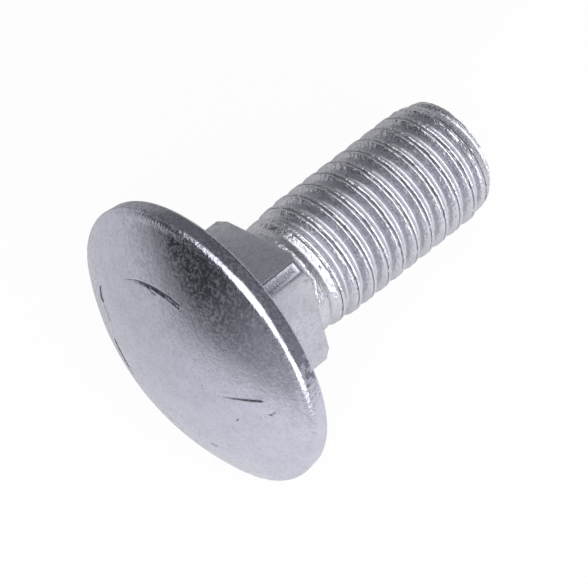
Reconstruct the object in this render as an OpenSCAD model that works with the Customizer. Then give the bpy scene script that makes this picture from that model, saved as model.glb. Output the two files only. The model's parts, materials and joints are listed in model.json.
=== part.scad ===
// Carriage bolt lying at rest: domed round head, square neck and a coarse rolled thread.
// Its own axis is drawn along +Z, from the underside of the head (z = 0) to the tip,
// and the last step lays it down on the head's rim and the thread's last full crest.

/* [Head] */
// Diameter of the round head
head_d = 30.1; // [27:0.1:32]
// Height of the head, from its flat underside to the top of the dome
head_h = 6.6; // [5.8:0.1:7.6]
// Height of the band round the rim, from the underside to the edge of the dome
rim_h = 1.9; // [1.6:0.1:2.4]
// Rounding where the dome meets the rim
dome_edge_r = 0.65; // [0.3:0.05:0.8]
// Rounding where the rim meets the underside
under_edge_r = 0.5; // [0.3:0.1:0.9]

/* [Square neck] */
// Width of the square neck across its flats
neck_w = 12.6; // [12.2:0.1:13]
// Length of the neck below the head
neck_h = 7.8; // [6:0.1:8.4]
// Width of the flat that takes off each corner of the neck
neck_corner_flat = 1.5; // [0.8:0.1:2.2]
// Height of the bevel on each corner at the neck's end
neck_bevel = 0.6; // [0.3:0.1:1.2]

/* [Body and thread] */
// Length from the underside of the head to the tip
bolt_length = 31.4; // [24:0.1:50]
// Outside diameter of the thread
thread_d = 12.64; // [11.9:0.02:12.66]
// Axial distance from one crest to the next
thread_pitch = 1.954; // [1.6:0.002:2.2]
// Depth of the thread from crest to root
thread_depth = 0.92; // [0.7:0.02:1]
// Width of the rounded crest
crest_w = 0.5; // [0.3:0.02:0.56]
// How far the crest's rounded edges lie below its middle
crest_round = 0.044; // [0:0.004:0.08]
// Height of the rounded root
root_round = 0.18; // [0.05:0.01:0.25]
// Diameter of the plain body between the neck and the thread
body_d = 11.6; // [11:0.1:11.8]
// Length over which the thread runs out towards the neck
runout_h = 5; // [2:0.1:7]
// Distance from the neck's end to the start of the run-out
runout_gap = 0.4; // [0.2:0.1:3]
// Diameter of the tip's flat end
tip_d = 11.6; // [10.5:0.1:11.8]
// Height of the tip's chamfer
tip_h = 2.2; // [1:0.1:2.6]

/* [Strokes struck in the dome] */
// Width of each stroke
stroke_w = 0.42; // [0.3:0.02:0.8]
// Depth of each stroke below the dome
stroke_depth = 0.13; // [0.08:0.01:0.2]
// Distance of the curved stroke from the bolt's axis
arc_stroke_r = 9.4; // [7:0.1:11]
// Angle that the curved stroke covers
arc_stroke_sweep = 45; // [20:1:70]
// Where the curved stroke starts, as an angle round the axis
arc_stroke_at = -23; // [-40:1:0]
// Distance of the straight stroke's inner end from the bolt's axis
line_stroke_r = 6.9; // [4:0.1:8]
// Length of the straight stroke along the dome
line_stroke_l = 4.2; // [2:0.1:6]
// Where the straight stroke lies, as an angle round the axis
line_stroke_at = 87; // [60:1:120]

/* [Lying] */
// How far the bolt is rolled round its own axis as it lies
rolled = 146.1; // [0:0.1:360]

/* [Hidden] */

$fn = 96;
dome_facets = 240;
stroke_facets = 24;

head_r = head_d / 2;
thread_r = thread_d / 2;
body_r = body_d / 2;
root_r = thread_r - thread_depth;
tip_r = tip_d / 2;

// The dome: a sphere through the top of the head and the upper edge of the rim
dome_h = head_h - rim_h;
dome_r = (head_r * head_r + dome_h * dome_h) / (2 * dome_h);
dome_z = dome_r - head_h;

// Centres of the two roundings on the rim, and where the upper one meets the dome
dome_edge_x = head_r - dome_edge_r;
dome_edge_z = dome_z - sqrt(pow(dome_r - dome_edge_r, 2) - pow(dome_edge_x, 2));
dome_meet = [0, dome_z] + [dome_edge_x, dome_edge_z - dome_z] * dome_r / (dome_r - dome_edge_r);
under_edge_x = head_r - under_edge_r;

// Half the distance between opposite corner flats of the neck
neck_corner_r = neck_w / sqrt(2) - neck_corner_flat / 2;

// The thread: rows of points per turn, straight facets round the bolt, and a helix that climbs
// one pitch a turn. Each row is [place along the pitch, depth below the crest].
facets = 48;
flank_angle = 30;
flank_h = thread_depth - root_round;
flank_w = flank_h * tan(flank_angle);
flank_end = crest_w / 2 + flank_w;
root_flat_w = (thread_pitch - 2 * flank_end) / 3;
thread_rows = [
    [0, 0],
    [crest_w / 2, crest_round],
    [flank_end, flank_h],
    [(thread_pitch - root_flat_w) / 2, thread_depth],
    [(thread_pitch + root_flat_w) / 2, thread_depth],
    [thread_pitch - flank_end, flank_h],
    [thread_pitch - crest_w / 2, crest_round]
];
rows = len(thread_rows);
thread_from = neck_h + runout_gap;
// How far one form runs on inside the next, so that they join as one solid
overlap = 1;
body_from = neck_h - overlap;
first_turn = -2 - ceil((thread_from - body_from) / thread_pitch);
turns = ceil((bolt_length - thread_from) / thread_pitch) + 1 - first_turn;

// Axial place of a row on one column of facets, before it is cut off at either end
function row_z(column, row) =
    thread_from + thread_pitch * (first_turn + floor(row / rows) + column / facets)
    + thread_rows[row % rows][0];
// How much of the thread's form is there: none on the plain body, all past the run-out
function fullness(z) = min(1, max(0, (z - thread_from) / runout_h));
// Radius of the tip's chamfer at a height
function chamfer_r(z) = tip_r + (bolt_length - z) * (thread_r - tip_r) / tip_h;
function full_r(row) = thread_r - thread_rows[row % rows][1];
// Radius of the thread at a height between two rows of a column
function between_r(column, row, z) =
    let (low = row_z(column, row), high = row_z(column, row + 1), part = (z - low) / (high - low))
    full_r(row) * (1 - part) + full_r(row + 1) * part;
function row_point(column, row) =
    let (z = row_z(column, row),
         cut = min(bolt_length, max(body_from, z)),
         whole = z > bolt_length ? between_r(column, row - 1, cut) : full_r(row),
         shaped = body_r + fullness(cut) * (whole - body_r),
         radius = min(shaped, chamfer_r(cut)),
         angle = 360 * column / facets)
    [radius * cos(angle), radius * sin(angle), cut];
// First and last rows of a column: those that lie on the planes of the two ends
function first_row(column) = max([for (row = [0 : rows * turns - 1])
    if (row_z(column, row) <= body_from) row]);
function last_row(column) = min([for (row = [0 : rows * turns - 1])
    if (row_z(column, row) >= bolt_length) row]);

// Lying down: with the rim on the floor, the tip sinks until the first point of the thread that
// faces down touches the floor too. Those points are the corners of the crests, as [radius, z].
crest_below = thread_from + thread_pitch * (360 - rolled) / 360;
full_to = bolt_length - tip_h;
resting_points = [for (crest = [0 : turns], edge = [-1, 0, 1])
    let (z = crest_below + thread_pitch * crest + edge * crest_w / 2)
    if (z > thread_from + runout_h && z <= bolt_length)
        [min(thread_r - abs(edge) * crest_round, chamfer_r(z)), z]];
function tilt_onto(point) =
    let (reach = [under_edge_x - point[0], point[1] + under_edge_r])
    acos(-under_edge_r / norm(reach)) - atan2(reach[1], reach[0]);
lying_tilt = min([for (point = resting_points) tilt_onto(point)]);
floor_drop = under_edge_x * cos(lying_tilt) - under_edge_r * sin(lying_tilt) + under_edge_r;
back_x = dome_z * cos(lying_tilt) - dome_r;
front_x = max(bolt_length * cos(lying_tilt) + tip_r * sin(lying_tilt),
              full_to * cos(lying_tilt) + thread_r * sin(lying_tilt));

// Cross-section of the head, with the axis at x = 0
module head_section() {
    intersection() {
        translate([0, dome_z]) circle(dome_r, $fn = dome_facets);
        translate([0, -dome_r]) square([dome_meet[0], dome_r]);
    }
    translate([dome_edge_x, dome_edge_z]) circle(dome_edge_r);
    translate([under_edge_x, -under_edge_r]) circle(under_edge_r);
    polygon([
        [0, 0],
        dome_meet,
        [dome_edge_x, dome_edge_z],
        [head_r, dome_edge_z],
        [head_r, -under_edge_r],
        [under_edge_x, -under_edge_r],
        [under_edge_x, 0]
    ]);
}

// A place on the dome at a distance from the axis, sunk so that a round tool cuts to stroke_depth
function stroke_place(r) =
    let (lift = stroke_w / 2 - stroke_depth,
         out = [r, -sqrt(dome_r * dome_r - r * r)] * (dome_r + lift) / dome_r)
    [out[0], out[1] + dome_z];

// Plain curved stroke round part of the dome
module arc_stroke() {
    rotate([0, 0, arc_stroke_at]) rotate_extrude(angle = arc_stroke_sweep)
        translate(stroke_place(arc_stroke_r)) circle(stroke_w / 2, $fn = stroke_facets);
}

// Rod with round ends along +Z, from one end's centre to the other's
module round_rod(r, h) {
    rotate_extrude($fn = stroke_facets) intersection() {
        union() {
            circle(r);
            square([r, h]);
            translate([0, h]) circle(r);
        }
        translate([0, -2 * r]) square([2 * r, h + 4 * r]);
    }
}

// Plain straight stroke that points at the dome's middle
module line_stroke() {
    inner = stroke_place(line_stroke_r);
    outer = stroke_place(line_stroke_r + line_stroke_l);
    slope = atan2(outer[0] - inner[0], outer[1] - inner[1]);
    rotate([0, 0, line_stroke_at]) translate([inner[0], 0, inner[1]]) rotate([0, slope, 0])
        round_rod(stroke_w / 2, norm(outer - inner));
}

module head() {
    difference() {
        rotate_extrude() head_section();
        arc_stroke();
        line_stroke();
    }
}

// Square neck with a flat on each corner, bevelled at 45 degrees at its end
module neck() {
    bevel_r = neck_corner_r - neck_bevel;
    intersection() {
        translate([0, 0, -overlap]) linear_extrude(neck_h + overlap) intersection() {
            square(neck_w, center = true);
            rotate(45) square(2 * neck_corner_r, center = true);
        }
        rotate_extrude() polygon([
            [0, -2 * overlap],
            [neck_w, -2 * overlap],
            [neck_w, neck_h - (neck_w - bevel_r)],
            [bevel_r, neck_h],
            [0, neck_h]
        ]);
    }
}

// Plain body, rolled thread with its run-out, and the chamfered tip, as one closed skin
module threaded_body() {
    last = rows * turns - 1;
    starts = [for (column = [0 : facets - 1]) first_row(column)];
    ends = [for (column = [0 : facets - 1]) last_row(column)];
    points = [for (column = [0 : facets - 1]) for (row = [0 : last]) row_point(column, row)];
    // The skin closes on itself one pitch further along
    function place(column, row) =
        let (c = column % facets, shift = column >= facets ? rows : 0,
             r = min(ends[c], max(starts[c], row + shift)))
        c * (last + 1) + r;
    quads = [for (column = [0 : facets - 1]) for (row = [-rows : last])
        [place(column, row), place(column, row + 1), place(column + 1, row + 1), place(column + 1, row)]];
    skin = [for (q = quads) for (t = [[q[0], q[1], q[2]], [q[0], q[2], q[3]]])
        if (t[0] != t[1] && t[1] != t[2] && t[2] != t[0]) t];
    foot = [for (column = [0 : facets - 1]) starts[column] + column * (last + 1)];
    tip_middle = len(points);
    tip = [for (column = [0 : facets - 1])
        let (next = (column + 1) % facets)
        [tip_middle, next * (last + 1) + ends[next], column * (last + 1) + ends[column]]];
    polyhedron(points = concat(points, [[0, 0, bolt_length]]), faces = concat(skin, [foot], tip));
}

module lay_down() {
    translate([-(back_x + front_x) / 2, 0, floor_drop])
        rotate([0, 90 + lying_tilt, 0]) rotate([0, 0, rolled]) children();
}

module carriage_bolt() {
    color([0.53, 0.53, 0.61]) lay_down() {
        head();
        neck();
        threaded_body();
    }
}

carriage_bolt();
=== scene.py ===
"""Looks of a zinc-plated carriage bolt: a domed head, a square neck and a coarse rolled thread.

The bolt is modelled upright on its own axis, with the underside of the head at z = 0 and the tip
at +Z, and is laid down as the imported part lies.
"""

import json
import math

import bpy
from mathutils import Matrix, Vector, noise


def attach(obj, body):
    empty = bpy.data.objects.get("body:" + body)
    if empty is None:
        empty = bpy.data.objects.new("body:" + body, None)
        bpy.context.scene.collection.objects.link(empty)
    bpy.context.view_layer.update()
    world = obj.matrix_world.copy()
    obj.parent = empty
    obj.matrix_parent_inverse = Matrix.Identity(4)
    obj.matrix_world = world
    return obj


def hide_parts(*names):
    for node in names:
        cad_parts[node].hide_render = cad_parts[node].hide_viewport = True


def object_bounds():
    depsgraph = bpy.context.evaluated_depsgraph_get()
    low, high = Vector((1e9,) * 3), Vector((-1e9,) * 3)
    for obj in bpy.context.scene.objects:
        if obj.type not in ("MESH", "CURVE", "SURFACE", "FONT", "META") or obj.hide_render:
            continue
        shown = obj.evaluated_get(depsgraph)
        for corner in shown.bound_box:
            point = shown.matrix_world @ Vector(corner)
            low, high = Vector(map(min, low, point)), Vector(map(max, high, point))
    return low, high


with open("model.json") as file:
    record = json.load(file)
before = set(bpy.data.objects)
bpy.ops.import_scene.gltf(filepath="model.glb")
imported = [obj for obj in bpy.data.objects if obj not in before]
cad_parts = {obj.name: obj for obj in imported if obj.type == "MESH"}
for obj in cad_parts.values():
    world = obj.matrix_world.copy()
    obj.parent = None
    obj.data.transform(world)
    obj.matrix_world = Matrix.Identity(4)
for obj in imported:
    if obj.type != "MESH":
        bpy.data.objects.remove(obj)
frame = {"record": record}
cad_low, cad_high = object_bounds()

MM = 0.001

# Head
head_d = 30.1 * MM
head_h = 6.6 * MM
rim_h = 1.9 * MM
rim_draft = 0.12 * MM
dome_edge_r = 0.65 * MM
under_edge_r = 0.5 * MM
head_r = head_d / 2
dome_h = head_h - rim_h
dome_r = (head_r**2 + dome_h**2) / (2 * dome_h)
dome_z = dome_r - head_h

# Square neck, with a stepped hollow in each of its corner flats
neck_w = 12.6 * MM
neck_h = 7.8 * MM
neck_corner_flat = 1.5 * MM
neck_bevel = 0.6 * MM
neck_edge_r = 0.1 * MM
corner_step = 0.13 * MM
corner_hollow_w = 0.35 * MM
corner_hollow = 0.07 * MM

# Body and thread
bolt_length = 31.4 * MM
body_d = 11.6 * MM
thread_d = 12.64 * MM
thread_pitch = 1.954 * MM
flank_angle = math.radians(30)
lip_r = 0.14 * MM
lips_apart = 0.5 * MM
seam_w = 0.12 * MM
root_r = 0.26 * MM
flank_points = (0.33, 0.67)
crest_lag = 0.13 * MM
runout_h = 5.0 * MM
runout_gap = 0.4 * MM
thread_from = neck_h + runout_gap
tip_d = 11.6 * MM
tip_h = 2.2 * MM

# How far the neck runs into the head, and the thread into the neck
sunk = 1.0 * MM

# How the bolt lies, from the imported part: its axis, its roll and its place
rolled = math.radians(146.1)
rest_axis = Vector(frame["record"]["mounts"][0]["axis"]).normalized()
tilt = math.asin(-rest_axis.z)
rest_x = cad_low.x - (dome_z * math.cos(tilt) - dome_r)
rest_z = ((head_r - under_edge_r) * math.cos(tilt) - under_edge_r * math.sin(tilt)) + under_edge_r
lying = (
    Matrix.Translation((rest_x, 0, rest_z))
    @ Matrix.Rotation(math.pi / 2 + tilt, 4, "Y")
    @ Matrix.Rotation(rolled, 4, "Z")
)

# Fineness of the meshes. The rings of the head's underside are in widths of the neck.
round_steps = 288
dome_rings = 60
edge_steps = 10
rim_steps = 5
underside_rings = (0.75, 0.4, 0.0)
stroke_cuts = 3
cone_cuts = 48
neck_edge_steps = 3
thread_steps = 150
lip_steps = 6
root_steps = 6
tiny = 0.001 * MM

# Edges sharper than this stay sharp, in degrees
sharp_from = 35
thread_sharp_from = 50


# ---------------------------------------------------------------- modelling helpers


def turned(r, angle, z=0.0):
    """The place at a distance from the bolt's axis, an angle round it and a height."""
    return Vector((r * math.cos(angle), r * math.sin(angle), z))


def from_axis(p):
    """Distance from the bolt's axis."""
    return math.hypot(p.x, p.y)


def smooth_step(low, high, value):
    """Rises smoothly from 0 at the low value to 1 at the high one."""
    t = min(1.0, max(0.0, (value - low) / (high - low)))
    return t * t * (3 - 2 * t)


def unevenness(p, *waves):
    """Smooth noise at a place, added up from waves that are each (size, strength)."""
    return sum(strength * noise.noise(p / size) for size, strength in waves)


def round_stretch(centre, r, start, end, steps):
    """Points of a round stretch of an outline. Angle 0 is where the second value is least."""
    points = []
    for step in range(steps + 1):
        angle = start + (end - start) * step / steps
        points.append((centre[0] + r * math.sin(angle), centre[1] - r * math.cos(angle)))
    return points


def start_piece(name):
    """Names the primitive just added and opens it for editing, with its place in its mesh."""
    piece = bpy.context.object
    piece.name = name
    bpy.ops.object.transform_apply(location=True, rotation=True, scale=True)
    bpy.ops.object.mode_set(mode="EDIT")
    bpy.ops.mesh.select_mode(type="VERT")
    bpy.ops.mesh.select_all(action="SELECT")
    return piece


def draw_outline(name, points):
    """Draws a chain of edges in the XZ plane, one extruded point after another."""
    bpy.ops.mesh.primitive_plane_add(size=MM, location=(0, 0, 0))
    piece = start_piece(name)
    bpy.ops.mesh.merge(type="CENTER")
    at = Vector((points[0][0], 0, points[0][1]))
    bpy.ops.transform.translate(value=at)
    for x, z in points[1:]:
        to = Vector((x, 0, z))
        bpy.ops.mesh.extrude_region_move(TRANSFORM_OT_translate={"value": to - at})
        at = to
    return piece


def pick(piece, edge=None, face=None):
    """Selects the edges or the faces of the piece being edited that a test accepts."""
    bpy.ops.mesh.select_all(action="DESELECT")
    bpy.ops.mesh.select_mode(type="EDGE" if edge else "FACE")
    bpy.ops.object.mode_set(mode="OBJECT")
    mesh = piece.data
    if edge:
        for e in mesh.edges:
            e.select = edge(*(mesh.vertices[i].co for i in e.vertices))
    if face:
        for f in mesh.polygons:
            f.select = face(f)
    bpy.ops.object.mode_set(mode="EDIT")


def close_up(piece):
    """Merges doubled vertices, turns every face outwards and leaves edit mode."""
    bpy.ops.mesh.select_mode(type="VERT")
    bpy.ops.mesh.select_all(action="SELECT")
    bpy.ops.mesh.remove_doubles(threshold=tiny)
    bpy.ops.mesh.normals_make_consistent(inside=False)
    bpy.ops.object.mode_set(mode="OBJECT")


def move_points(piece, moved):
    """Moves every vertex of a piece to where moved(place) puts it."""
    for v in piece.data.vertices:
        v.co = moved(v.co)


def select_only(*pieces):
    """Selects these pieces alone and makes the first one active."""
    bpy.ops.object.select_all(action="DESELECT")
    for piece in pieces:
        piece.select_set(True)
    bpy.context.view_layer.objects.active = pieces[0]


# ---------------------------------------------------------------- wear on the head

# Strokes struck in the dome. Their form is a soft V with a low lip beside it: the lip's height is a
# share of the depth, and its place and width are in half widths of the stroke.
stroke_w = 0.42 * MM
stroke_depth = 0.13 * MM
stroke_softness = 0.8
stroke_lip = 0.2
stroke_lip_at = 1.4
stroke_lip_w = 0.35
stroke_fine_reach = 0.85 * stroke_w

# The curved stroke, and the angles between which it gets deeper
arc_stroke_r = 9.4 * MM
arc_stroke_from = math.radians(-23)
arc_stroke_to = math.radians(22)
arc_stroke_deepens_from = arc_stroke_from - 0.3
arc_stroke_full_from = arc_stroke_to - 0.25

# The straight stroke, and how far from the axis it starts to get deeper
line_stroke_turn = math.radians(87)
line_stroke_in = 6.9 * MM
line_stroke_out = 11.1 * MM
line_stroke_deepens_from = line_stroke_in - 1.5 * MM
line_stroke_force = 0.75

# Painted shade darkens the middle of the curved stroke where it is struck deeper than this share
stroke_shade_w = 0.26 * stroke_w
stroke_shade_force = 0.3

# Shallow hollows all over the dome, and small dents towards its edge
dome_hollow = 0.012 * MM
dome_waves = ((2.4 * MM, 1.0), (1.1 * MM, 0.5))
edge_dent = 0.03 * MM
edge_dent_share = 0.25
edge_dent_wave = (0.8 * MM, 1.0)
edge_dents_from = head_r - 1.6 * MM
edge_dents_full_from = head_r - 0.3 * MM
highest_lip = 0.01 * MM
wear_ends_at = -0.6 * rim_h

# The dome's edge: small knocks flatten it all round, and a deeper bruise on one side
edge_knock = 0.03 * MM
edge_knock_slope = math.radians(65)
edge_knock_share = 0.6
edge_knock_waves = ((1.5 * MM, 1.0), (0.5 * MM, 1.0), (0.3 * MM, 0.7))
edge_bruise = 0.07 * MM
edge_bruise_at = 44
edge_bruise_reach = 11
edge_bruise_wave = (0.7 * MM, 0.25)

# The side of the rim with painted shade and the unevenness of its border, in degrees round the axis,
# and how far its faces lean from upright
rim_shade_from = -48
rim_shade_to = 78
rim_shade_border_wave = (0.8 * MM, 12)
rim_lean = 0.3


def on_face(r_mm, degrees):
    """The place on the head, seen from its top, at a distance from the axis and an angle."""
    return turned(r_mm * MM, math.radians(degrees)).xy


# Small nicks in the dome, each from one place to another. The force is their depth as a share of
# the strokes' depth. Painted shade darkens them from one share of their half width to another.
nicks = [
    dict(start=on_face(10.3, -63), end=on_face(10.0, -68), width=0.9 * MM, force=1.5, shade_span=(0.5, 0.95)),
    dict(start=on_face(9.5, -70), end=on_face(8.4, -76), width=0.4 * MM, force=0.8, shade_span=(0.0, 0.4)),
    dict(start=on_face(8.2, -94), end=on_face(7.6, -112), width=0.6 * MM, force=1.5, shade_span=(0.5, 1.0)),
    dict(start=on_face(7.5, -113), end=on_face(7.3, -119), width=0.4 * MM, force=1.2, shade_span=(0.0, 0.6)),
    dict(start=on_face(8.6, 163), end=on_face(8.9, 159), width=0.4 * MM, force=0.7, shade_span=(0.0, 0.4)),
    dict(start=on_face(12.0, 93), end=on_face(11.6, 95), width=0.4 * MM, force=0.5, shade_span=None),
    dict(start=on_face(8.5, 106), end=on_face(8.4, 107), width=0.25 * MM, force=0.6, shade_span=(0.0, 0.4)),
    dict(start=on_face(5.0, -32), end=on_face(5.3, -38), width=0.25 * MM, force=0.4, shade_span=None),
    dict(start=on_face(9.2, -2), end=on_face(9.0, 4), width=0.22 * MM, force=0.35, shade_span=None),
]


def arc_stroke_at(p):
    """Distance from the middle of the curved stroke, and how deep it is struck there."""
    angle = math.atan2(p.y, p.x)
    inside = min(arc_stroke_to, max(arc_stroke_from, angle))
    force = smooth_step(arc_stroke_deepens_from, arc_stroke_full_from, inside)
    return (p.xy - turned(arc_stroke_r, inside).xy).length, force


def line_stroke_at(p):
    """Distance from the middle of the straight stroke, and how deep it is struck there."""
    along = turned(1, line_stroke_turn).xy
    inside = min(line_stroke_out, max(line_stroke_in, p.xy.dot(along)))
    force = line_stroke_force * smooth_step(line_stroke_deepens_from, line_stroke_out, inside)
    return (p.xy - inside * along).length, force


def nearest_nick(p):
    """The nearest nick, and the distance from its middle as if it were as wide as a stroke."""
    found = []
    for nick in nicks:
        along = nick["end"] - nick["start"]
        part = (p.xy - nick["start"]).dot(along) / along.length_squared
        part = min(1.0, max(0.0, part))
        away = (p.xy - nick["start"] - part * along).length
        found.append((away * stroke_w / nick["width"], nick))
    return min(found, key=lambda near: near[0])


def nick_at(p):
    """Distance from the middle of the nearest nick, and how deep it is."""
    distance, nick = nearest_nick(p)
    return distance, nick["force"]


STRUCK = (arc_stroke_at, line_stroke_at, nick_at)


def on_dome(p):
    """True for a place on the dome or on its rounded edge, beyond the rim's height."""
    return p.z < -rim_h + tiny


def near_strokes(p):
    """True where the mesh has to be fine enough for a stroke or a nick."""
    return on_dome(p) and min(struck(p)[0] for struck in STRUCK) < stroke_fine_reach


def stroke_form(distance):
    """Share of a stroke's depth at a distance from its middle."""
    across = distance / (stroke_w / 2)
    lip = stroke_lip * math.exp(-(((across - stroke_lip_at) / stroke_lip_w) ** 2))
    return max(0.0, 1 - across) ** stroke_softness - lip


def dome_edge():
    """Centre of the rounding between the dome and the rim, as (distance from the axis, z)."""
    edge_x = head_r - dome_edge_r
    return edge_x, dome_z - math.sqrt((dome_r - dome_edge_r) ** 2 - edge_x**2)


def knocked_edge(p):
    """Flattens the dome's edge by uneven small knocks and by one deeper bruise."""
    turn = math.atan2(p.y, p.x)
    knock = turned(math.sin(edge_knock_slope), turn, -math.cos(edge_knock_slope))
    edge_x, edge_z = dome_edge()
    apex = edge_x * math.sin(edge_knock_slope) - edge_z * math.cos(edge_knock_slope) + dome_edge_r
    around = turned(1, turn) * head_r
    depth = edge_knock * max(0.0, edge_knock_share + unevenness(around, *edge_knock_waves))
    off = (math.degrees(turn) - edge_bruise_at) / edge_bruise_reach
    depth += edge_bruise * math.exp(-(off**2)) * (1 + unevenness(around, edge_bruise_wave))
    over = p.dot(knock) - (apex - depth)
    return p - knock * over if over > 0 else p


def worn_dome(p):
    """Presses the strokes, the nicks and the hollows into the dome, and knocks its edge."""
    if from_axis(p) > head_r + tiny or p.z > wear_ends_at:
        return p
    outward = (p - Vector((0, 0, dome_z))).normalized()
    depth = 0.0
    if on_dome(p):
        for struck in STRUCK:
            distance, force = struck(p)
            if distance < stroke_w:
                depth += stroke_depth * force * stroke_form(distance)
    edge = smooth_step(edge_dents_from, edge_dents_full_from, from_axis(p))
    depth += dome_hollow * unevenness(p, *dome_waves)
    depth += edge_dent * edge * (unevenness(p, edge_dent_wave) + edge_dent_share)
    return knocked_edge(p - outward * max(-highest_lip, depth))


# ---------------------------------------------------------------- the domed head


def head_outline():
    """Half outline of the head: the dome, the rim, and the underside to its middle."""
    edge = dome_edge()
    slope = math.asin(edge[0] / (dome_r - dome_edge_r))
    dome = round_stretch((0, dome_z), dome_r, 0, slope, dome_rings)
    rounding = round_stretch(edge, dome_edge_r, slope, math.pi / 2, edge_steps)
    rim = []
    for step in range(1, rim_steps):
        part = step / rim_steps
        rim.append((head_r - rim_draft * part, edge[1] - (edge[1] + under_edge_r) * part))
    under = (head_r - rim_draft - under_edge_r, -under_edge_r)
    under_edge = round_stretch(under, under_edge_r, math.pi / 2, math.pi, edge_steps)
    underside = [(neck_w * share, 0.0) for share in underside_rings]
    return dome[:-1] + rounding + rim + under_edge + underside


def make_head():
    """The head's outline, turned round the bolt's axis, with its wear pressed in."""
    head = draw_outline("head", head_outline())
    bpy.ops.mesh.select_all(action="SELECT")
    bpy.ops.mesh.spin(steps=round_steps, angle=2 * math.pi, center=(0, 0, 0), axis=(0, 0, 1))
    close_up(head)
    bpy.ops.object.mode_set(mode="EDIT")
    pick(head, face=lambda f: near_strokes(f.center))
    bpy.ops.mesh.subdivide(number_cuts=stroke_cuts)
    bpy.ops.object.mode_set(mode="OBJECT")
    move_points(head, worn_dome)
    return head


def on_shaded_rim(face):
    """True on the part of the rim's upright side that gets painted shade, with an uneven border."""
    p = face.center
    turn = math.degrees(math.atan2(p.y, p.x)) + unevenness(p, rim_shade_border_wave)
    upright = abs(face.normal.z) < rim_lean
    outside = from_axis(p) > head_r - under_edge_r
    return upright and outside and rim_shade_from < turn < rim_shade_to


def in_shaded_stroke(face):
    """True where shade is painted into the curved stroke or a nick."""
    if not on_dome(face.center):
        return False
    distance, force = arc_stroke_at(face.center)
    if force > stroke_shade_force and distance < stroke_shade_w * force:
        return True
    distance, nick = nearest_nick(face.center)
    if not nick["shade_span"]:
        return False
    shade_from, shade_to = nick["shade_span"]
    return shade_from < distance / (stroke_w / 2) < shade_to


# ---------------------------------------------------------------- the square neck

# How far the faces of a corner's flat lean from upright, and turn from facing outwards
flat_lean = 0.1
flat_turn = 0.35

# How much the faces of the step round it look outwards, and how much to one side or to the head
step_outward_from = 0.5
step_outward_to = 0.9
step_aside = 0.5


def make_neck():
    """A square bar with flats on its corners, cut back at 45 degrees at its end."""
    bpy.ops.mesh.primitive_cube_add(
        size=1, location=(0, 0, (neck_h - sunk) / 2), scale=(neck_w, neck_w, neck_h + sunk)
    )
    neck = start_piece("neck")
    pick(neck, edge=lambda a, b: abs(a.z - b.z) > neck_h)
    bpy.ops.mesh.bevel(
        offset=neck_corner_flat, offset_type="WIDTH", segments=1, affect="EDGES"
    )
    corner_r = neck_w / math.sqrt(2) - neck_corner_flat / 2
    for turn in range(cone_cuts):
        angle = 2 * math.pi * (turn + 0.5) / cone_cuts
        place = turned(corner_r, angle, neck_h - neck_bevel)
        out = turned(1, angle, 1).normalized()
        bpy.ops.mesh.select_all(action="SELECT")
        bpy.ops.mesh.bisect(plane_co=place, plane_no=out, clear_outer=True, use_fill=True)
    close_up(neck)
    worn = neck.modifiers.new("worn edges", "BEVEL")
    worn.width = neck_edge_r
    worn.segments = neck_edge_steps
    worn.limit_method = "ANGLE"
    bpy.ops.object.modifier_apply(modifier=worn.name)
    bpy.ops.object.mode_set(mode="EDIT")
    pick(neck, face=lambda f: on_corner(f) and f.area > neck_h * neck_corner_flat / 2)
    bpy.ops.mesh.inset(thickness=corner_step, depth=-corner_step)
    bpy.ops.mesh.inset(thickness=corner_hollow_w, depth=-corner_hollow)
    bpy.ops.object.mode_set(mode="OBJECT")
    return neck


def on_corner(face):
    """True for a face that lies in one of the flats that take off the neck's corners."""
    upright = abs(face.normal.z) < flat_lean
    diagonal = abs(abs(face.normal.x) - abs(face.normal.y)) < flat_turn
    return upright and diagonal


def on_shaded_corner_step(face):
    """True for the edge round a corner's flat that gets painted shade: on one side of it and at its
    end.
    """
    x = math.copysign(1, face.center.x)
    y = math.copysign(1, face.center.y)
    outward = Vector((x, y, 0)).normalized()
    aside = Vector((-y, x, 0)).normalized()
    near = face.center.dot(outward) > neck_w / math.sqrt(2) - neck_corner_flat
    tilted = step_outward_from < face.normal.dot(outward) < step_outward_to
    one_side = face.normal.dot(aside) > step_aside
    at_end = face.normal.z < -step_aside
    return near and tilted and (one_side or at_end)


# ---------------------------------------------------------------- the rolled thread

# Turns swept below the thread's start, and about as many beyond the tip, for the cuts to take off
spare_turns = 2

# Roughness of the rolled surface, most of it on the crests, and knocks that cut into the tip
roll_wave = (0.9 * MM, 0.02 * MM)
roll_stretch = 2.5
roll_share = 0.3
crest_from = 5.4 * MM
crest_full_from = 6.2 * MM
tip_knock = 0.09 * MM
tip_knock_share = 0.3
tip_knock_wave = (0.6 * MM, 1.0)

# Uneven borders of the painted shade in the seam on the crests and of the pitted tip
seam_border_wave = (0.5 * MM, 1.2)
tip_border = 0.7 * tip_h
tip_border_wave = (1.2 * MM, 0.4 * MM)
tip_outside_r = 5.4 * MM


def thread_form():
    """One pitch of the thread as (place along the pitch, depth), from one crest's seam to the next.

    A crest has two round lips with the seam between them, and straight flanks lead to a round root.
    """
    steep = math.pi / 2 - flank_angle
    seam_depth = lip_r * (1 - math.cos(steep))
    seam = [(0.0, seam_depth), (seam_w / 2, seam_depth)]
    lip = round_stretch((lips_apart / 2, lip_r), lip_r, -steep, steep, lip_steps)
    flank_x, flank_depth = lip[-1]
    flank_run = thread_pitch / 2 - root_r * math.sin(steep) - flank_x
    flank_rise = flank_run / math.tan(flank_angle)
    flank = [(flank_x + part * flank_run, flank_depth + part * flank_rise) for part in flank_points]
    thread_depth = flank_depth + flank_rise + root_r * (1 - math.cos(steep))
    bottom = (thread_pitch / 2, thread_depth - root_r)
    root = round_stretch(bottom, root_r, math.pi + steep, math.pi, root_steps)
    half = seam + lip + flank + root[:-1]
    other_half = [(thread_pitch - along, depth) for along, depth in reversed(half)]
    return half + [(thread_pitch / 2, thread_depth)] + other_half


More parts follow.
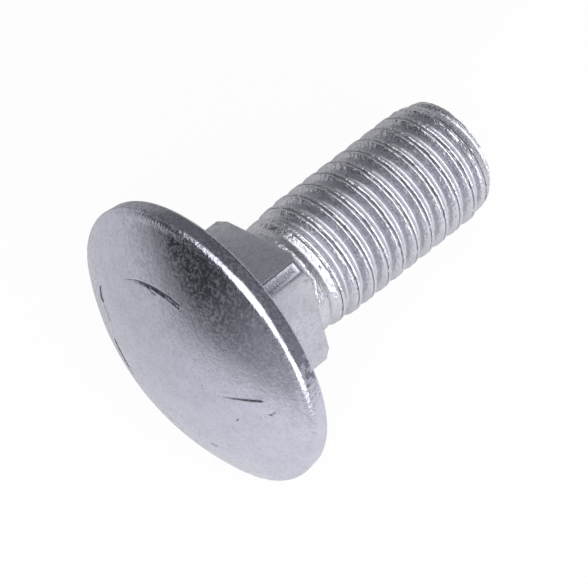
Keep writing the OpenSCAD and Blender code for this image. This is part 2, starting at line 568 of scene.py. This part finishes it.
def from_seam(p):
    """Distance along the axis from the nearest crest's seam."""
    turn = math.atan2(p.y, p.x) / (2 * math.pi)
    share = (p.z - thread_from - crest_lag) / thread_pitch - turn
    return abs(share - round(share)) * thread_pitch


def rolled_place(p):
    """Fades the thread out towards the neck, roughens its crests and cuts the tip's chamfer."""
    if from_axis(p) < tiny:
        return p
    angle = math.atan2(p.y, p.x)
    full = min(1.0, max(0.0, (p.z - thread_from) / runout_h))
    r = body_d / 2 + full * (from_axis(p) - body_d / 2)
    place = turned(r, angle, roll_stretch * p.z)
    r += unevenness(place, roll_wave) * (roll_share + smooth_step(crest_from, crest_full_from, r))
    chamfer = tip_d / 2 + (bolt_length - p.z) * (thread_d - tip_d) / 2 / tip_h
    chamfer -= tip_knock * max(0.0, unevenness(place, tip_knock_wave) + tip_knock_share)
    return turned(min(r, chamfer, thread_d / 2), angle, p.z)


def make_thread():
    """A thread form drawn point by point, swept up a helix, and cut square at both ends."""
    start = thread_from + crest_lag - spare_turns * thread_pitch
    form = [(thread_d / 2 - depth, start + along) for along, depth in thread_form()]
    thread = draw_outline("thread", form)
    bpy.ops.object.mode_set(mode="OBJECT")
    sweep = thread.modifiers.new("helix", "SCREW")
    sweep.axis = "Z"
    sweep.screw_offset = thread_pitch
    sweep.iterations = math.ceil((bolt_length - neck_h) / thread_pitch) + spare_turns + 1
    sweep.steps = sweep.render_steps = thread_steps
    sweep.use_merge_vertices = True
    sweep.merge_threshold = tiny
    bpy.ops.object.modifier_apply(modifier=sweep.name)
    bpy.ops.object.mode_set(mode="EDIT")
    for z, up in ((neck_h - sunk, -1), (bolt_length, 1)):
        bpy.ops.mesh.select_all(action="SELECT")
        bpy.ops.mesh.remove_doubles(threshold=tiny)
        bpy.ops.mesh.bisect(plane_co=(0, 0, z), plane_no=(0, 0, up), clear_outer=True)
        bpy.ops.mesh.edge_face_add()
    close_up(thread)
    move_points(thread, rolled_place)
    return thread


def in_shaded_seam(face):
    """True in the seam along the top of the thread's crests, where shade is painted, with an uneven
    edge.
    """
    p = face.center
    wide = seam_w / 2 * (1 + unevenness(p, seam_border_wave))
    full = p.z > thread_from + runout_h / 2 and from_axis(p) > tip_d / 2
    return full and p.z < bolt_length - tiny and from_seam(p) < wide


def on_tip(face):
    """True on the chamfer at the tip, with an uneven edge."""
    p = face.center
    border = bolt_length - tip_border + unevenness(p, tip_border_wave)
    return p.z > border and from_axis(p) > tip_outside_r


# ---------------------------------------------------------------- node helpers


def put(tree, kind, **values):
    """Adds a node, and sets its properties and the starting values of its inputs."""
    node = tree.nodes.new(kind)
    for name, value in values.items():
        if name in node.inputs:
            node.inputs[name].default_value = value
        else:
            setattr(node, name, value)
    return node


def feed(tree, socket, value):
    """Links another node's output to a socket, or sets the socket to a plain value."""
    if isinstance(value, bpy.types.NodeSocket):
        tree.links.new(value, socket)
    else:
        socket.default_value = value


def calculate(tree, operation, first, second=0.0):
    """A Math node on one or two sockets or plain numbers."""
    node = put(tree, "ShaderNodeMath", operation=operation)
    feed(tree, node.inputs[0], first)
    feed(tree, node.inputs[1], second)
    return node.outputs["Value"]


def plus(tree, first, second):
    return calculate(tree, "ADD", first, second)


def minus(tree, first, second):
    return calculate(tree, "SUBTRACT", first, second)


def times(tree, first, second):
    return calculate(tree, "MULTIPLY", first, second)


def larger(tree, first, second):
    return calculate(tree, "MAXIMUM", first, second)


def ramp(tree, value, span, result=(0.0, 1.0)):
    """Maps a value smoothly from one span of numbers onto another, and clamps it."""
    node = put(
        tree, "ShaderNodeMapRange", interpolation_type="SMOOTHSTEP",
        **{"From Min": span[0], "From Max": span[1], "To Min": result[0], "To Max": result[1]},
    )
    tree.links.new(value, node.inputs["Value"])
    return node.outputs["Result"]


# A Mix node's own order of sockets: its two colours and, among its outputs, the mixed one
first_colour = 6
second_colour = 7
colour_out = 2


def mixed_colour(tree, share, first, second, blend="MIX"):
    """A colour Mix node. The share and both colours are sockets or plain values."""
    node = put(tree, "ShaderNodeMix", data_type="RGBA", blend_type=blend)
    feed(tree, node.inputs["Factor"], share)
    feed(tree, node.inputs[first_colour], first)
    feed(tree, node.inputs[second_colour], second)
    return node.outputs[colour_out]


def noise_at(tree, place, scale, detail, roughness):
    """A noise texture at a place, with its scale a socket or a plain number."""
    node = put(tree, "ShaderNodeTexNoise", Detail=detail, Roughness=roughness)
    feed(tree, node.inputs["Vector"], place)
    feed(tree, node.inputs["Scale"], scale)
    return node.outputs["Fac"]


def new_group(name, numbers, outputs):
    """A shader node group that is given a place and numbers. Returns its tree and its ends."""
    tree = bpy.data.node_groups.new(name, "ShaderNodeTree")
    tree.interface.new_socket("Place", in_out="INPUT", socket_type="NodeSocketVector")
    for label, value in numbers.items():
        socket = tree.interface.new_socket(label, in_out="INPUT", socket_type="NodeSocketFloat")
        socket.default_value = value
    for label in outputs:
        tree.interface.new_socket(label, in_out="OUTPUT", socket_type="NodeSocketFloat")
    start = tree.nodes.new("NodeGroupInput")
    end = tree.nodes.new("NodeGroupOutput")
    return tree, start.outputs, end.inputs


def use_group(tree, group, place, values):
    """Puts a node group into a tree at a place, with values for its named inputs."""
    node = put(tree, "ShaderNodeGroup", node_tree=group)
    for name, value in values.items():
        node.inputs[name].default_value = value
    tree.links.new(place, node.inputs["Place"])
    return node.outputs


# ---------------------------------------------------------------- finishes

# Clouds in the plating: the span of the noise, and what they do to the shade and the sheen
cloud_span = (0.3, 0.7)
cloud_shade = (0.95, 1.03)
cloud_sheen = (1.15, 0.88)

# Small rough and smooth patches, dark specks and curly marks
patch_span = (0.35, 0.65)
speck_roughness = 0.25
curl_shade = 0.2
curl_depth_mm = 0.008


def plating_mottle():
    """Fine orange-peel unevenness of zinc plating, with cloudy patches and small dark specks."""
    tree, given, result = new_group(
        "plating mottle", {"Grain mm": 0.4, "Specks": 0.5}, ("Height", "Cloud", "Speck")
    )
    place = given["Place"]
    fineness = calculate(tree, "DIVIDE", 1.0, given["Grain mm"])
    grain = noise_at(tree, place, fineness, detail=3.0, roughness=0.6)
    cloud = noise_at(tree, place, scale=0.45, detail=4.0, roughness=0.65)
    speck = noise_at(tree, place, scale=3.1, detail=4.0, roughness=0.75)
    tree.links.new(grain, result["Height"])
    tree.links.new(cloud, result["Cloud"])
    dark = ramp(tree, speck, (0.58, 0.74))
    tree.links.new(times(tree, dark, given["Specks"]), result["Speck"])
    return tree


def curly_marks():
    """Short thin curls in the plating, where a coarse pattern passes its middle value."""
    tree, given, result = new_group("curly marks", {"Size mm": 0.7, "Amount": 1.0}, ("Mask",))
    place = given["Place"]
    fineness = calculate(tree, "DIVIDE", 1.0, given["Size mm"])
    patch_fineness = times(tree, fineness, 1.3)
    track = noise_at(tree, place, fineness, detail=1.5, roughness=0.6)
    patch = noise_at(tree, place, patch_fineness, detail=2.0, roughness=0.6)
    off_track = calculate(tree, "ABSOLUTE", minus(tree, track, 0.5))
    line = ramp(tree, off_track, (0.015, 0.045), (1.0, 0.0))
    line = times(tree, line, ramp(tree, patch, (0.5, 0.58)))
    tree.links.new(times(tree, line, given["Amount"]), result["Mask"])
    return tree


MOTTLE = plating_mottle()
CURLS = curly_marks()


def bolt_place(tree):
    """Place on the bolt's own axes, in millimetres."""
    back = lying.inverted()
    coordinates = put(tree, "ShaderNodeTexCoord")
    mapping = put(
        tree, "ShaderNodeMapping", vector_type="POINT",
        Location=back.translation / MM, Rotation=back.to_euler("XYZ"), Scale=(1 / MM,) * 3,
    )
    tree.links.new(coordinates.outputs["Object"], mapping.inputs["Vector"])
    return mapping.outputs["Vector"]


def worn_share(tree, place, start_mm, full_mm):
    """How worn the metal is: not at all at one distance from the axis, fully at another."""
    across = put(tree, "ShaderNodeVectorMath", operation="MULTIPLY")
    across.inputs[1].default_value = (1, 1, 0)
    tree.links.new(place, across.inputs[0])
    length = put(tree, "ShaderNodeVectorMath", operation="LENGTH")
    tree.links.new(across.outputs["Vector"], length.inputs[0])
    return ramp(tree, length.outputs["Value"], (start_mm, full_mm))


def zinc(
    name, colour, roughness, grain_mm, grain_depth_mm, specks, curls,
    patchy=(0.8, 1.3), spread=(1, 1, 1), wear=None,
):
    """Zinc-plated steel: mottled grain, clouds in its colour and sheen, specks and curly marks.

    patchy is how much smoother and how much rougher the metal gets in small patches, and spread
    scales the mottle's place along each of the bolt's axes. wear gives the distances from the axis
    where wear starts and is full, the size and depth of its dents, and its roughness.
    """
    material = bpy.data.materials.new(name)
    material.use_nodes = True
    tree = material.node_tree
    steel = tree.nodes["Principled BSDF"]
    steel.inputs["Metallic"].default_value = 1.0
    place = bolt_place(tree)
    spread_out = put(tree, "ShaderNodeMapping", Scale=spread)
    tree.links.new(place, spread_out.inputs["Vector"])
    mottle = use_group(
        tree, MOTTLE, spread_out.outputs["Vector"], {"Grain mm": grain_mm, "Specks": specks}
    )
    marks = use_group(tree, CURLS, place, {"Amount": curls})

    shade = ramp(tree, mottle["Cloud"], cloud_span, cloud_shade)
    shade = times(tree, shade, minus(tree, 1.0, mottle["Speck"]))
    shade = times(tree, shade, minus(tree, 1.0, times(tree, marks["Mask"], curl_shade)))
    grey = put(tree, "ShaderNodeCombineColor")
    for channel in grey.inputs:
        tree.links.new(shade, channel)
    tone = mixed_colour(tree, 1.0, (*colour, 1), grey.outputs["Color"], blend="MULTIPLY")
    tree.links.new(tone, steel.inputs["Base Color"])

    sheen = ramp(tree, mottle["Cloud"], cloud_span, [roughness * share for share in cloud_sheen])
    sheen = plus(tree, sheen, times(tree, mottle["Speck"], speck_roughness))
    sheen = times(tree, sheen, ramp(tree, mottle["Height"], patch_span, patchy))
    height = times(tree, mottle["Height"], grain_depth_mm)
    height = minus(tree, height, times(tree, marks["Mask"], curl_depth_mm))
    if wear:
        share = worn_share(tree, place, wear["start_mm"], wear["full_mm"])
        sheen = times(tree, sheen, minus(tree, 1.0, share))
        sheen = plus(tree, sheen, times(tree, share, wear["roughness"]))
        dents = use_group(tree, MOTTLE, place, {"Grain mm": wear["dent_mm"]})
        dent = times(tree, dents["Height"], wear["dent_depth_mm"])
        height = plus(tree, height, times(tree, dent, share))
    tree.links.new(sheen, steel.inputs["Roughness"])
    bump = put(tree, "ShaderNodeBump", Strength=1.0, Distance=MM)
    tree.links.new(height, bump.inputs["Height"])
    tree.links.new(bump.outputs["Normal"], steel.inputs["Normal"])
    return material


zinc_colour = (0.52, 0.522, 0.60)
# Darker colour for one side of the rim: painted shade, with mottled specks
rim_shade_colour = (0.3, 0.3, 0.35)
corner_colour = (0.36, 0.36, 0.41)
neck_colour = (0.52, 0.518, 0.57)
thread_colour = (0.605, 0.603, 0.65)
# Dark colour of painted shade in the strokes, the nicks, the crests' seams and the steps round the
# neck's corner flats
painted_shade_colour = (0.16, 0.16, 0.19)
zinc_dome = zinc(
    "zinc plate on the head", zinc_colour,
    roughness=0.16, grain_mm=0.36, grain_depth_mm=0.022, specks=0.4, curls=0.5, patchy=(0.4, 2.1),
    wear=dict(start_mm=14.2, full_mm=14.8, dent_mm=0.35, dent_depth_mm=0.09, roughness=0.2),
)
zinc_rim_shaded = zinc(
    "mottled zinc on the rim with painted shade", rim_shade_colour,
    roughness=0.2, grain_mm=0.35, grain_depth_mm=0.05, specks=1.2, curls=0.5, patchy=(0.5, 2.0),
)
zinc_neck = zinc(
    "zinc plate on the neck", neck_colour,
    roughness=0.3, grain_mm=0.4, grain_depth_mm=0.016, specks=0.45, curls=0.8, spread=(1, 1, 0.6),
)
zinc_corner = zinc(
    "rough zinc on the neck's corners", corner_colour,
    roughness=0.3, grain_mm=0.25, grain_depth_mm=0.06, specks=0.5, curls=0.3,
)
zinc_thread = zinc(
    "zinc plate on the thread", thread_colour,
    roughness=0.37, grain_mm=0.35, grain_depth_mm=0.045, specks=0.4, curls=0.3, patchy=(0.7, 1.5),
    wear=dict(start_mm=5.45, full_mm=5.95, dent_mm=0.5, dent_depth_mm=0.14, roughness=0.2),
)
zinc_tip = zinc(
    "pitted zinc on the tip", thread_colour,
    roughness=0.2, grain_mm=0.35, grain_depth_mm=0.13, specks=0.8, curls=0.3, patchy=(0.5, 2.0),
)
painted_shade = zinc(
    "zinc with painted shade in seams and strokes", painted_shade_colour,
    roughness=0.5, grain_mm=0.3, grain_depth_mm=0.02, specks=0.4, curls=0.3,
)


def finish_piece(piece, material, sharp):
    """Gives a piece its main finish, and smooth shading that keeps its sharp edges."""
    piece.data.materials.append(material)
    select_only(piece)
    bpy.ops.object.shade_smooth_by_angle(angle=math.radians(sharp))


def paint_where(piece, material, test):
    """Gives another finish to the faces of a piece that a test accepts."""
    piece.data.materials.append(material)
    slot = len(piece.data.materials) - 1
    for face in piece.data.polygons:
        if test(face):
            face.material_index = slot


# ---------------------------------------------------------------- the bolt

head = make_head()
finish_piece(head, zinc_dome, sharp_from)
# Painted shade: a darker finish on one side of the rim
paint_where(head, zinc_rim_shaded, on_shaded_rim)
# Painted shade in the curved stroke and on the nicks
paint_where(head, painted_shade, in_shaded_stroke)

neck = make_neck()
finish_piece(neck, zinc_neck, sharp_from)
paint_where(neck, zinc_corner, on_corner)
# Painted shade on the step round one side and the end of each corner flat
paint_where(neck, painted_shade, on_shaded_corner_step)

thread = make_thread()
finish_piece(thread, zinc_thread, thread_sharp_from)
paint_where(thread, zinc_tip, on_tip)
# Painted shade in the seam on the thread's crests
paint_where(thread, painted_shade, in_shaded_seam)

select_only(head, neck, thread)
bpy.ops.object.join()
bolt = bpy.context.object
bolt.name = "zinc_plated_bolt"
bolt.matrix_world = lying
bpy.ops.object.transform_apply(location=True, rotation=True, scale=True)
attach(bolt, "root")
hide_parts("carriage_bolt")


# ---------------------------------------------------------------- floor, light and camera

# How much of the floor's own white shows to the camera and in reflections
floor_to_camera = 0.95
floor_in_mirror = 0.3


def painted_floor_shade(tree):
    """Share of the floor's full white, darkened as painted shade: less far away, and a painted shadow
    behind the bolt and under its thread.
    """
    coordinates = put(tree, "ShaderNodeTexCoord")
    length = put(tree, "ShaderNodeVectorMath", operation="LENGTH")
    tree.links.new(coordinates.outputs["Object"], length.inputs[0])
    split = put(tree, "ShaderNodeSeparateXYZ")
    tree.links.new(coordinates.outputs["Object"], split.inputs["Vector"])
    fade = ramp(tree, length.outputs["Value"], (0.05, 0.2), (1.0, 0.45))
    far_side = ramp(tree, split.outputs["Y"], (-0.04, 0.02), (1.0, 0.72))
    painted_thread_shadow = times(
        tree,
        ramp(tree, split.outputs["Y"], (0.0, 0.015)),
        ramp(tree, split.outputs["X"], (-0.025, 0.01), (0.0, 0.2)),
    )
    return times(tree, times(tree, fade, far_side), minus(tree, 1.0, painted_thread_shadow))


def make_floor():
    """A pale sheet that keeps the bolt's shadow, with painted shade that darkens it away from the bolt
    and a painted shadow behind it and under its thread.
    """
    bpy.ops.mesh.primitive_circle_add(vertices=96, radius=1.5, fill_type="NGON", location=(0, 0, 0))
    floor = bpy.context.object
    floor.name = "floor"
    material = bpy.data.materials.new("pale studio floor")
    material.use_nodes = True
    tree = material.node_tree
    paint = tree.nodes["Principled BSDF"]
    paint.inputs["Roughness"].default_value = 0.9
    paint.inputs["Specular IOR Level"].default_value = 0.1
    shade = painted_floor_shade(tree)
    colour = mixed_colour(tree, shade, (0.0, 0.0, 0.0, 1), (0.93, 0.93, 0.94, 1))
    tree.links.new(colour, paint.inputs["Base Color"])
    seen = put(tree, "ShaderNodeLightPath")
    white = put(tree, "ShaderNodeEmission")
    tree.links.new(larger(tree, shade, seen.outputs["Is Camera Ray"]), white.inputs["Strength"])
    mirrored = larger(tree, seen.outputs["Is Glossy Ray"], seen.outputs["Is Transmission Ray"])
    share = larger(
        tree,
        times(tree, seen.outputs["Is Camera Ray"], floor_to_camera),
        times(tree, mirrored, floor_in_mirror),
    )
    mix = put(tree, "ShaderNodeMixShader")
    tree.links.new(share, mix.inputs["Fac"])
    tree.links.new(paint.outputs["BSDF"], mix.inputs[1])
    tree.links.new(white.outputs["Emission"], mix.inputs[2])
    tree.links.new(mix.outputs["Shader"], tree.nodes["Material Output"].inputs["Surface"])
    floor.data.materials.append(material)


def soft_box(name, place, aim, width, height, radiance):
    """A rectangular soft light of that brightness, turned to aim at a point."""
    light = bpy.data.lights.new(name, "AREA")
    light.shape = "RECTANGLE"
    light.size = width
    light.size_y = height
    light.energy = radiance * math.pi * width * height
    box = bpy.data.objects.new(name, light)
    box.location = place
    box.rotation_euler = (Vector(aim) - Vector(place)).to_track_quat("-Z", "Y").to_euler()
    bpy.context.scene.collection.objects.link(box)


def studio_world():
    """Dim room round the lights: brighter on the near side, by the tip and in the far corner."""
    world = bpy.data.worlds.new("dim room")
    bpy.context.scene.world = world
    world.use_nodes = True
    tree = world.node_tree
    coordinates = put(tree, "ShaderNodeTexCoord")
    split = put(tree, "ShaderNodeSeparateXYZ")
    tree.links.new(coordinates.outputs["Generated"], split.inputs["Vector"])
    x, y, z = split.outputs
    near_side = ramp(tree, y, (0.36, -0.6), (0.0, 0.55))
    head_side = ramp(tree, x, (0.5, -0.2), (0.35, 1.0))
    near_corner = ramp(tree, y, (-0.35, -0.85), (0.0, 0.3))
    tip_side = ramp(tree, x, (0.0, 0.7), (0.1, 1.0))
    upward = ramp(tree, z, (0.35, 0.8), (0.12, 0.42))
    far_side = ramp(tree, y, (0.3, 0.85))
    far_corner = ramp(tree, x, (-0.45, 0.0), (0.0, 0.2))
    everywhere = 0.045
    glow = plus(tree, times(tree, near_side, head_side), near_corner)
    glow = plus(tree, glow, times(tree, tip_side, upward))
    glow = plus(tree, glow, plus(tree, times(tree, far_side, far_corner), everywhere))
    background = tree.nodes["Background"]
    background.inputs["Color"].default_value = (0.93, 0.96, 1.0, 1)
    tree.links.new(glow, background.inputs["Strength"])


def make_camera():
    """Looks down on the bolt from the head's side."""
    azimuth = math.radians(-132.735)
    elevation = math.radians(74.388)
    distance = 295.1 * MM
    aim = Vector((-4.117, -2.159, 15.32)) * MM
    to_camera = turned(math.cos(elevation), azimuth, math.sin(elevation))
    lens = bpy.data.cameras.new("camera")
    lens.sensor_width = 36
    lens.lens = 196.69
    lens.clip_start = 0.01
    camera = bpy.data.objects.new("camera", lens)
    camera.location = aim + distance * to_camera
    camera.rotation_euler = (-to_camera).to_track_quat("-Z", "Y").to_euler()
    bpy.context.scene.collection.objects.link(camera)
    bpy.context.scene.camera = camera


make_floor()
studio_world()
soft_box(
    "overhead soft box", place=(-0.12, -0.04, 0.62), aim=(-0.12, -0.04, 0),
    width=0.82, height=1.05, radiance=1.95,
)
soft_box(
    "side soft box", place=(-0.189, -0.581, 0.298), aim=(0, 0, 0.01),
    width=0.66, height=0.38, radiance=2.3,
)
make_camera()
bpy.context.scene.view_settings.view_transform = "Standard"
